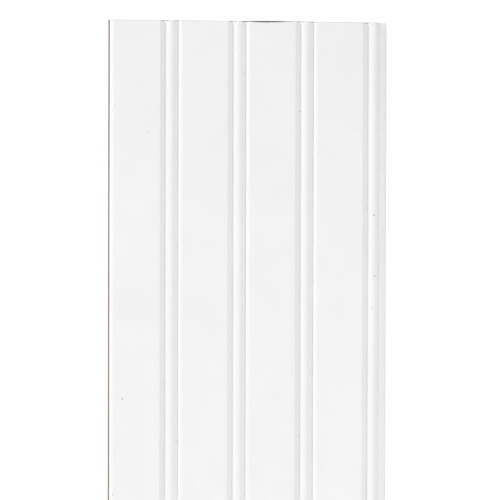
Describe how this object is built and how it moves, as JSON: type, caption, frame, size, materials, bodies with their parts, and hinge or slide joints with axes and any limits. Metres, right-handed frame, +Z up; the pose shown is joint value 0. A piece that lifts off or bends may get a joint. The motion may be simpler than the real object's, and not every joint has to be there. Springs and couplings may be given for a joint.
{
  "type": "beadboard panel",
  "caption": "Flat painted fibreboard wall panel with raised beads along its face, a groove in one long edge and a tongue on the other, so that boards lock side by side as wainscot.",
  "frame": {"origin": "middle of the panel's box on the back face, which lies on the floor", "axes": "+X across the panel from the grooved edge to the tongue, +Y along the panel, +Z up through its thickness to the beaded face"},
  "size_m": [0.1358, 0.8128, 0.0079],
  "materials": {
    "painted_fibreboard": "satin white paint on the beaded face, raw fibreboard on the back, the sawn ends and the grooved edge"
  },
  "bodies": {
    "root": {"beadboard_panel": "painted_fibreboard"}
  },
  "joints": []
}
